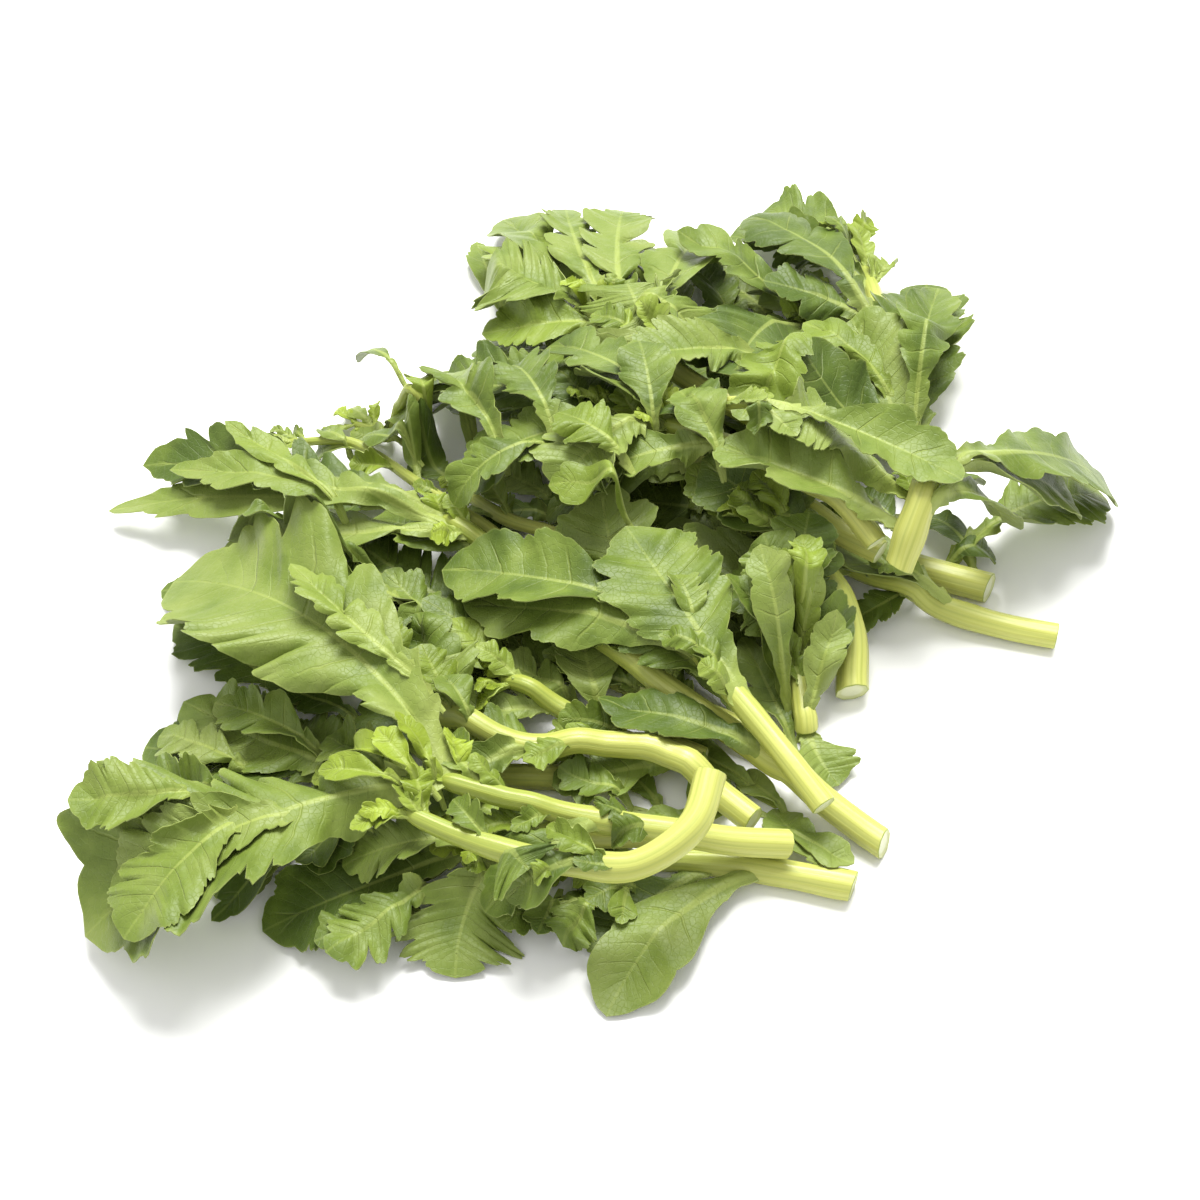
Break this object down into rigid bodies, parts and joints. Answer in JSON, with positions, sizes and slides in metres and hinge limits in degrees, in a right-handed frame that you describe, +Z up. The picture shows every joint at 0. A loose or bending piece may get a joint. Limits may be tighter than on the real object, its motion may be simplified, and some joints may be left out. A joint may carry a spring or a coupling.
{
  "type": "chrysanthemum greens",
  "caption": "Loose heap of cut chrysanthemum greens: leafy shoots with pale grooved stems and broad, lobed grey-green leaves, lying on a table.",
  "frame": {"origin": "middle of the heap's outline seen from above, at the level of the table it lies on", "axes": "+Z up from the table; +Y away from the front, towards the group of leaf tips at the back; +X to the right, towards most of the cut ends"},
  "size_m": [0.3628, 0.3791, 0.0702],
  "materials": {
    "leaf": "matt grey-green leaf with a pale yellow-green midrib",
    "stem": "satin pale yellow-green stem with fine grooves lengthwise and a paler cut end"
  },
  "bodies": {
    "root": {"shoot_01_front_floor": "leaf", "shoot_02_back_floor": "leaf", "shoot_03_middle_floor": "leaf", "shoot_04_front_left": "leaf", "shoot_05_left_fill": "leaf", "shoot_06_middle_fill": "leaf", "shoot_07_back_right": "leaf", "shoot_08_back_left": "leaf", "shoot_09_slim_bud": "leaf", "shoot_10_slim_side": "leaf", "shoot_11_right_foot": "leaf", "shoot_12_front_long": "leaf", "shoot_13_side_cluster": "leaf", "shoot_14_straight": "leaf", "shoot_15_crossing": "leaf", "shoot_16_back_top": "leaf", "shoot_17_top_right": "leaf", "shoot_18_back_corner": "leaf", "shoot_19_top_crown": "leaf", "shoot_20_front_top": "leaf", "shoot_21_bent_foot": "leaf", "shoot_22_right_upright": "leaf", "shoot_23_right_twig": "leaf"}
  },
  "joints": []
}
